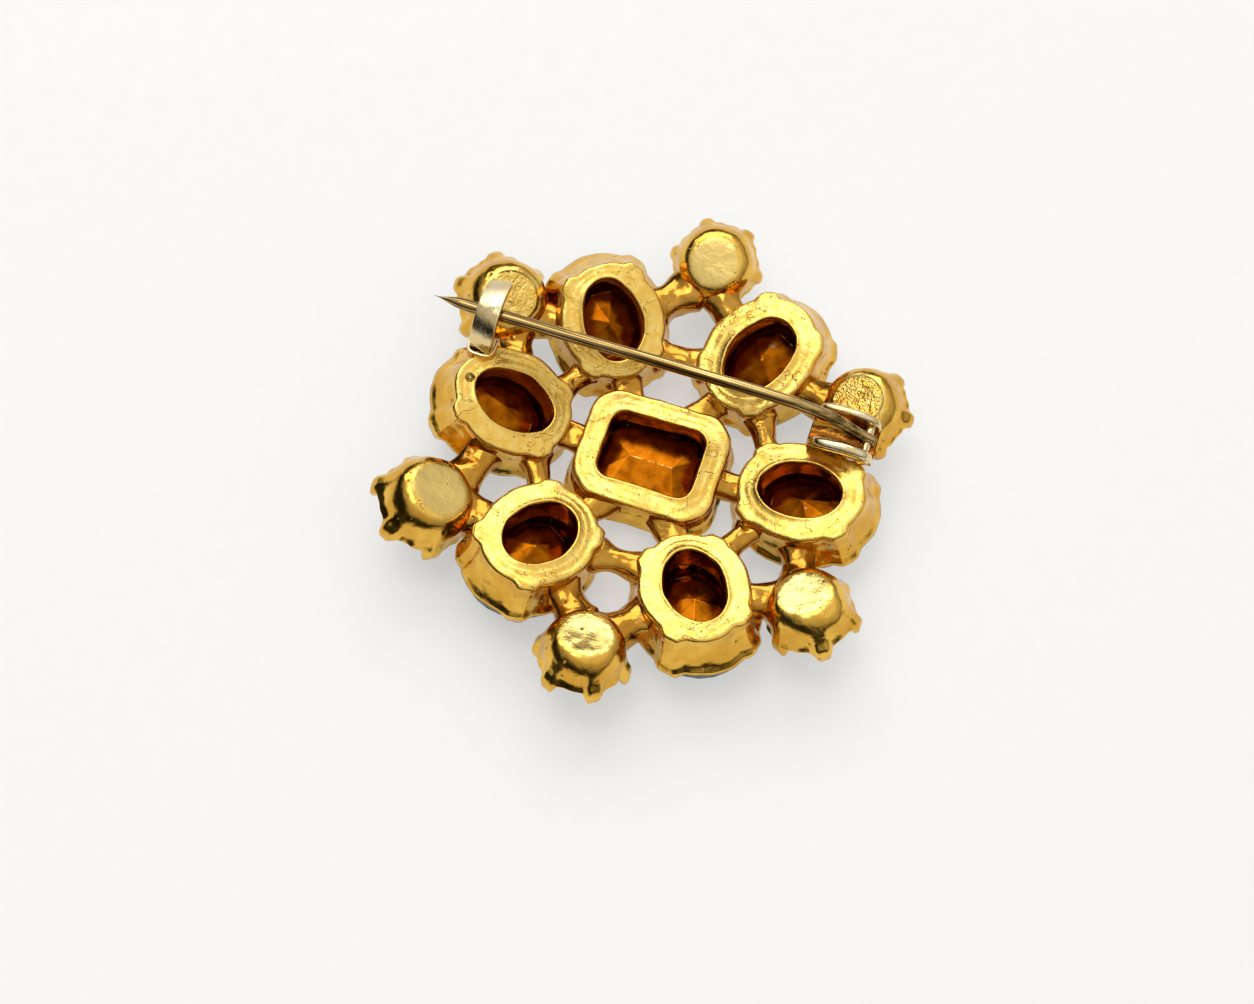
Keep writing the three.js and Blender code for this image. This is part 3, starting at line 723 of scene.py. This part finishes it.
def cut_stone(name, points, place, nodes, look, foil_from):
    """The convex hull of a stone's corners, foiled on the facets behind foil_from."""
    shape = bmesh.new()
    for point in points:
        spot = place @ Vector(point)
        spot.z = max(spot.z, LOWEST)
        shape.verts.new(spot * MM)
    bmesh.ops.convex_hull(shape, input=shape.verts)
    bmesh.ops.dissolve_limit(shape, angle_limit=math.radians(0.6), verts=shape.verts, edges=shape.edges)
    bmesh.ops.bevel(shape, geom=list(shape.edges), offset=0.045 * MM, segments=1, affect="EDGES")
    bmesh.ops.recalc_face_normals(shape, faces=shape.faces)
    back = place.inverted()
    for face in shape.faces:
        face.material_index = 1 if (back @ (face.calc_center_median() / MM)).z > foil_from else 0
        # The narrow bevel faces on the foiled back take the painted highlight material.
        narrow = min(edge.calc_length() for edge in face.edges) < 0.09 * MM
        if face.material_index == 1 and narrow and len(face.edges) == 4:
            face.material_index = 2
        face.smooth = False
    mesh = bpy.data.meshes.new(name)
    shape.to_mesh(mesh)
    shape.free()
    for material in look:
        mesh.materials.append(material)
    piece = bpy.data.objects.new(name, mesh)
    bpy.context.collection.objects.link(piece)
    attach(piece, "frame")
    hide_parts(*nodes)


def ring_points(half_x, half_y, count, z, turn=0.0):
    step = TAU / count
    return [
        (half_x * math.cos((i + turn) * step), half_y * math.sin((i + turn) * step), z)
        for i in range(count)
    ]


def oval_stone_points(half, table, crown, girdle, culet):
    x, y = half
    return (
        ring_points(x * 0.84, y * 0.84, 8, -table, 0.5)
        + ring_points(x * 0.97, y * 0.97, 24, -crown)
        + ring_points(x, y, 32, -girdle - 0.1)
        + ring_points(x, y, 32, -girdle + 0.1)
        + ring_points(x * 0.5, y * 0.5, 8, -between(girdle, culet, 0.56) + 0.12, 0.5)
        + [(0, 0, -culet)]
    )


def octagon_corners(half_x, half_y, corner, z):
    points = []
    for sx, sy in ((1, 1), (-1, 1), (-1, -1), (1, -1)):
        points.append((sx * half_x, sy * (half_y - corner), z))
        points.append((sx * (half_x - corner), sy * half_y, z))
    return points


# ---- Bars -----------------------------------------------------------------------------------

STRUT_STEPS = 26
STRUT_SIDES = 32
STRUT_TIP = 0.45


def strut(start, end, width, height, seed, fillet, swell):
    """A cast bar with round ends, thinnest in the middle, that swells where it meets a wall."""
    length = (end - start).length
    along = (end - start).normalized()
    side = along.cross(Vector((0, 0, 1))).normalized()
    up = side.cross(along)
    rings = []
    for k in range(STRUT_STEPS + 1):
        share = k / STRUT_STEPS
        away = abs(share - 0.5) * length / fillet
        swollen = away ** 2.2 if away < 1 else 1 - smooth((away - 1) / 1.2)
        tip = max(0.0, abs(share - 0.5) - 0.5 + STRUT_TIP / length) / (STRUT_TIP / length)
        closing = math.sqrt(max(0.0, 1 - tip * tip)) + 0.02
        grow = (0.92 + swell * swollen) * closing
        rise = (0.92 + 0.4 * swell * swollen) * closing
        middle = start.lerp(end, share)
        ring = []
        for i in range(STRUT_SIDES):
            angle = TAU * i / STRUT_SIDES
            across = math.cos(angle)
            high = math.sin(angle)
            box = 1 / max(abs(across), abs(high)) ** 0.2
            point = middle + side * (across * box * width / 2 * grow) + up * (high * box * height / 2 * rise)
            point += wobble(point, seed, 0.3, 0.5)
            point += wobble(point, seed + 9, 0.08, 1.1)
            ring.append(point)
        rings.append(ring)
    return loft(rings)


# ---- Tubes and strips along a line ----------------------------------------------------------

def curve_points(controls, count):
    """Points evenly spaced in parameter on a smooth curve through the controls."""
    controls = [Vector(c) for c in controls]
    ends = [controls[0] * 2 - controls[1]] + controls + [controls[-1] * 2 - controls[-2]]
    spans = len(controls) - 1
    points = []
    for k in range(count + 1):
        where = min(k / count * spans, spans - 1e-9)
        i = int(where)
        t = where - i
        a, b, c, d = ends[i:i + 4]
        points.append(0.5 * (
            2 * b + (c - a) * t + (2 * a - 5 * b + 4 * c - d) * t * t + (3 * b - a - 3 * c + d) * t ** 3
        ))
    return points


def swept(line, across, section):
    """Sweep section(share), a list of (across, normal) pairs, along a line in one plane."""
    rings = []
    for k, point in enumerate(line):
        ahead = line[min(k + 1, len(line) - 1)]
        behind = line[max(k - 1, 0)]
        tangent = (ahead - behind).normalized()
        normal = tangent.cross(across).normalized()
        ring = [point + across * a + normal * b for a, b in section(k / (len(line) - 1))]
        rings.append(ring)
    return loft(rings)


def rounded_box(half_width, half_height, radius, steps=5):
    """The outline of a rounded rectangle as (across, normal) pairs."""
    points = []
    for sx, sy, start in ((1, 1, 0), (-1, 1, 90), (-1, -1, 180), (1, -1, 270)):
        for k in range(steps + 1):
            angle = math.radians(start + 90 * k / steps)
            points.append((
                sx * (half_width - radius) + radius * math.cos(angle),
                sy * (half_height - radius) + radius * math.sin(angle),
            ))
    return points


# ---- The brooch -----------------------------------------------------------------------------

HERE = Matrix.Identity(4)
WIRE_SIDES = 28


def build_centre(gold, stone_look):
    place = Matrix.Translation((0, 0, CENTRE_BACK))

    def outline(x, y):
        out = smooth((x - CENTRE_OPENING[0]) / (CENTRE_HALF[0] - CENTRE_OPENING[0]))
        return octagon_outline(x, y, between(CENTRE_OPENING_CORNER, CENTRE_CORNER, out))

    rim_share = tuple((h + CENTRE_FLARE) / h for h in CENTRE_HALF)
    points, faces, ground = open_setting(
        outline, CENTRE_OPENING, CENTRE_HALF, rim_share, CENTRE_RIM_DEPTH, CENTRE_CLAW_DEPTH,
        CENTRE_LUG_ANGLES, 1, CENTRE_LUG_OUT, CENTRE_LEDGE)
    add_piece("centre_setting_cast", points, faces, place, [gold],
              ["centre_setting"], ground=ground)
    x, y = CENTRE_STONE
    corners = (
        octagon_corners(x - 1.6, y - 1.6, 0.9, -4.4)
        + octagon_corners(x - 0.9, y - 0.9, 1.2, -4.05)
        + octagon_corners(x - 0.4, y - 0.4, 1.4, -3.65)
        + octagon_corners(x, y, 1.5, -3.1)
        + octagon_corners(x, y, 1.5, -2.9)
        + octagon_corners(x - 1.4, y - 1.4, 0.95, -2.1)
        + [(1.8, 0, -1.5), (-1.8, 0, -1.5)]
    )
    cut_stone("centre_stone_cut", corners, place, ["centre_stone"], stone_look, -3.0)


def build_ovals(gold, stone_look):
    places = [ring_place(OVAL_RING, i * 60, shift) for i, shift in enumerate(OVAL_SHIFTS)]
    for i, place in enumerate(places):
        half = tuple(h * size for h, size in zip(OVAL_HALF, OVAL_SIZES[i]))
        rim_share = tuple(OVAL_RIM_SHARE / size for size in OVAL_SIZES[i])
        points, faces, ground = open_setting(
            ellipse_outline, OVAL_OPENING, half, rim_share,
            OVAL_RIM_DEPTH, OVAL_CLAW_DEPTH, OVAL_LUG_ANGLES, 11 + i)
        add_piece(f"oval_setting_{i + 1}_cast", points, faces, place, [gold],
                  [f"oval_setting_{i + 1}"], ground=ground)
        corners = oval_stone_points(
            OVAL_STONE, OVAL_TABLE_DEPTH, OVAL_CROWN_DEPTH, OVAL_RIM_DEPTH + 0.2, OVAL_CULET_DEPTH)
        cut_stone(f"oval_stone_{i + 1}_cut", corners, place, [f"oval_stone_{i + 1}"], stone_look,
                  -OVAL_RIM_DEPTH)
    return places


def build_cups(gold, stone_look):
    places = [ring_place(CUP_RING, 30 + i * 60, shift) for i, shift in enumerate(CUP_SHIFTS)]
    for i, place in enumerate(places):
        points, faces, ground = round_cup(31 + i, CUP_SIZES[i], CUP_DISCS[i])
        add_piece(f"round_cup_{i + 1}_cast", points, faces, place, [gold],
                  [f"round_cup_{i + 1}"], ground=ground)
        radius = CUP_STONE_RADIUS - CUP_STONE_PLAY
        corners = (
            ring_points(radius * 0.55, radius * 0.55, 8, -CUP_STONE_TABLE_DEPTH, 0.5)
            + ring_points(radius * 0.78, radius * 0.78, 16, -4.1)
            + ring_points(radius, radius, 24, -3.3)
            + ring_points(radius, radius, 24, -3.05)
            + [(0, 0, -1.2)]
        )
        cut_stone(f"round_stone_{i + 1}_cut", corners, place, [f"round_stone_{i + 1}"], stone_look, -3.0)
    return places


def build_bars(gold, ovals, cups):
    def bar(name, start, end, seed, kind):
        first, last = kind["reach"]
        points, faces = strut(start.lerp(end, first), start.lerp(end, last), kind["width"],
                              kind["height"], seed, kind["fillet"], kind["swell"])
        ground = [BAR_PAINTED_SHADE] * len(points)
        add_piece(f"{name}_cast", points, faces, HERE, [gold], [name], ground=ground)

    for i in range(6):
        after = (i + 1) % 6
        inward = OVAL_RING["radius"] - 10.4
        start = inside(ovals[i], inward, 3.4)
        end = inside(ovals[after], inward, 3.4)
        bar(f"ring_bar_{i + 1}", start, end, 51 + i, RING_BAR)
        spoke_end = inside(ovals[i], 1.5, 3.0)
        hub = Vector((0, 0, 2.7))
        bar(f"centre_bar_{i + 1}", hub, spoke_end, 61 + i, CENTRE_BAR)
        cup_end = inside(cups[i], 0, 4.1)
        for letter, oval in (("a", i), ("b", after)):
            oval_end = inside(ovals[oval], 0, 3.5)
            bar(f"cup_bar_{i + 1}{letter}", cup_end, oval_end, 71 + 2 * i + oval, CUP_BAR)


def build_stem(brass):
    """The wire, flattened into an eye at the rivet and tapered to a point."""
    line = curve_points([
        (RIVET_X + 0.35, STEM_Y, RIVET_Z - 0.25),
        (14.1, STEM_Y, STEM_Z - 1.35),
        (12.6, STEM_Y, STEM_Z - 0.5),
        (10.4, STEM_Y, STEM_Z + 0.1),
        (7.6, STEM_Y, STEM_Z + 0.3),
        (0, STEM_Y, STEM_Z + 0.2),
        (-8, STEM_Y, STEM_Z + 0.05),
        (-16, STEM_Y, STEM_Z),
        (-19.25, STEM_Y, STEM_Z),
    ], 160)

    def section(share):
        taper = 1 - smooth((share - 0.885) / 0.115) * 0.97
        flat = 1 - smooth(share / 0.10)
        wide = WIRE_RADIUS * taper * between(1, 0.92, flat)
        deep = WIRE_RADIUS * taper * between(1, 1.55, flat)
        turns = [TAU * i / WIRE_SIDES for i in range(WIRE_SIDES)]
        return [(wide * math.cos(a), deep * math.sin(a)) for a in turns]

    points, faces = swept(line, Vector((0, 1, 0)), section)
    add_piece("pin_stem_wire", points, faces, HERE, [brass], ["pin_stem"], body="pin")


# Radius and place along the rivet, head first.
RIVET_PROFILE = (
    (0.3, -2.04), (0.46, -2.0), (0.54, -1.9), (0.54, -1.78), (0.33, -1.72),
    (0.33, -0.5), (0.33, 0.6), (0.33, 1.1), (0.2, 1.14),
)


def build_rivet(worn):
    turns = [TAU * i / WIRE_SIDES for i in range(WIRE_SIDES)]
    rings = [
        [Vector((RIVET_X + r * math.cos(a), STEM_Y + y, RIVET_Z + r * math.sin(a))) for a in turns]
        for r, y in RIVET_PROFILE
    ]
    points, faces = loft(rings)
    add_piece("hinge_rivet_turned", points, faces, HERE, [worn], ["hinge_rivet"],
              body="pin_pivot")


CATCH_ROLL = 14
COLLAR_HALF = 1.0
COLLAR_Z = CENTRE_BACK + 2.45


def build_catch(worn, gold):
    """A strip that rises from its collar, arches over the stem and widens to a square end."""
    line = curve_points([(CATCH_X, y, CENTRE_BACK + z) for y, z in CATCH_LINE], 60)
    tilt = math.radians(-CATCH_ROLL)

    def section(share):
        end = smooth((share - 0.96) / 0.04)
        width = between(0.62, 0.98, smooth(share / 0.35)) - 0.06 * end
        shape = rounded_box(width, 0.19 - 0.04 * end, 0.1 - 0.03 * end)
        roll = tilt * smooth(share / 0.3)
        return [(x * math.cos(roll) - z * math.sin(roll), x * math.sin(roll) + z * math.cos(roll))
                for x, z in shape]

    points, faces = swept(line, Vector((1, 0, 0)), section)
    strip_end = len(faces)
    base = len(points)
    half = COLLAR_HALF
    front = CATCH_LINE[0][0] - 0.2
    bend = [(-half, front + 1.7), (-half, front + 0.7), (-half + 0.12, front + 0.2), (-half + 0.5, front),
            (0, front - 0.02), (half - 0.5, front), (half - 0.12, front + 0.2), (half, front + 0.7),
            (half, front + 1.7)]
    path = curve_points([(CATCH_X + x, y, COLLAR_Z) for x, y in bend], 48)
    collar, collar_faces = swept(path, Vector((0, 0, 1)), lambda share: rounded_box(1.1, 0.13, 0.09))
    points += collar
    faces += [tuple(base + i for i in face) for face in collar_faces]
    catch = add_piece("catch_strip", points, faces, HERE, [worn, gold], ["catch"])
    for face in catch.data.polygons:
        under = face.normal.z < 0.1
        face.material_index = 1 if under or (face.index >= strip_end and face.normal.z < 0.5) else 0


def bead(centre, height, curve, start, end):
    """An arc over one ear, from the start angle to the end angle, in degrees."""
    angles = [between(start, end, k / 10) for k in range(11)]
    return [
        (centre + curve * math.cos(math.radians(a)), height + curve * math.sin(math.radians(a)))
        for a in angles
    ]


BRACKET_X = (11.1, 16.3)
BRACKET_STEPS = 52
NEAR_BEAD = 0.5
FAR_BEAD = 0.36
BEAD_MARK = 2


def build_bracket(worn, gold):
    """A folded strip: two ears with fat, arched beads along their tops on a narrower base."""
    low = CENTRE_BACK + 1.35
    top = CENTRE_BACK + 3.9
    rings = []
    marks = []
    for k in range(BRACKET_STEPS + 1):
        share = k / BRACKET_STEPS
        x = between(*BRACKET_X, share)
        ends = math.sqrt(max(0.0, 1 - abs(2 * share - 1) ** 3.2))
        near = NEAR_BEAD * between(0.45, 1, ends)
        far = FAR_BEAD * between(0.5, 1, ends)
        near_top = between(RIVET_Z - 0.9, top - near, ends)
        far_top = between(RIVET_Z - 0.7, top - far, ends)
        floor = low + 0.35
        bow = 0.22 * ends
        a = -1.32 - bow
        b = 1.36 + 0.5 * bow
        section = [(-1.35, low, 0), (-1.35, between(low, near_top, 0.45), 0)]
        section += [(y, z, BEAD_MARK) for y, z in bead(a, near_top, near, 215, -55)]
        # Marks under 0 paint shade on the walls and floor of the trough between the ears.
        section += [(-0.86, between(floor, near_top, 0.3), -1), (-0.8, floor + 0.05, -1)]
        section += [(-0.6, floor - 0.1, -0.9), (0.5, floor, -0.55), (0.9, floor + 0.25, -0.3)]
        section += [(1.0, between(floor, far_top, 0.5), -0.15)]
        section += [(y, z, BEAD_MARK) for y, z in bead(b, far_top, far, 190, 0)]
        section += [(1.62, between(low, far_top, 0.4), 0), (1.55, low, 0)]
        ring = []
        for y, z, mark in section:
            point = Vector((x, STEM_Y + y, z))
            ring.append(point + wobble(point, 91, 0.07, 0.6))
            marks.append(mark)
        rings.append(ring)
    points, faces = loft(rings)
    marks += [0, 0]
    bracket = add_piece("hinge_bracket_folded", points, faces, HERE, [worn, gold],
                        ["hinge_bracket"], ground=[min(mark, 1) for mark in marks])
    for face in bracket.data.polygons:
        shiny = all(marks[i] == BEAD_MARK for i in face.vertices)
        face.material_index = 0 if shiny else 1


def main():
    bpy.context.scene.view_settings.view_transform = "Standard"
    make_camera()
    make_world()
    make_floor()
    area_light("back_softbox", (-0.25, 0.55, 0.55), (0, 0, 0), (0.9, 0.4), 2.8)
    area_light("top_softbox", (-0.2, 0.1, 0.8), (0, 0, 0), (0.35, 0.35), 1.0)
    gold = cast_gold()
    worn = worn_gold("worn_gold", 9.0)
    stone_look = (teal_glass(), amber_foil(), painted_foil_highlight())
    build_centre(gold, stone_look)
    ovals = build_ovals(gold, stone_look)
    cups = build_cups(gold, stone_look)
    build_bars(gold, ovals, cups)
    build_bracket(worn, gold)
    build_catch(worn_gold("worn_gold_catch", 6.0), gold)
    build_rivet(worn)
    build_stem(drawn_brass())


main()
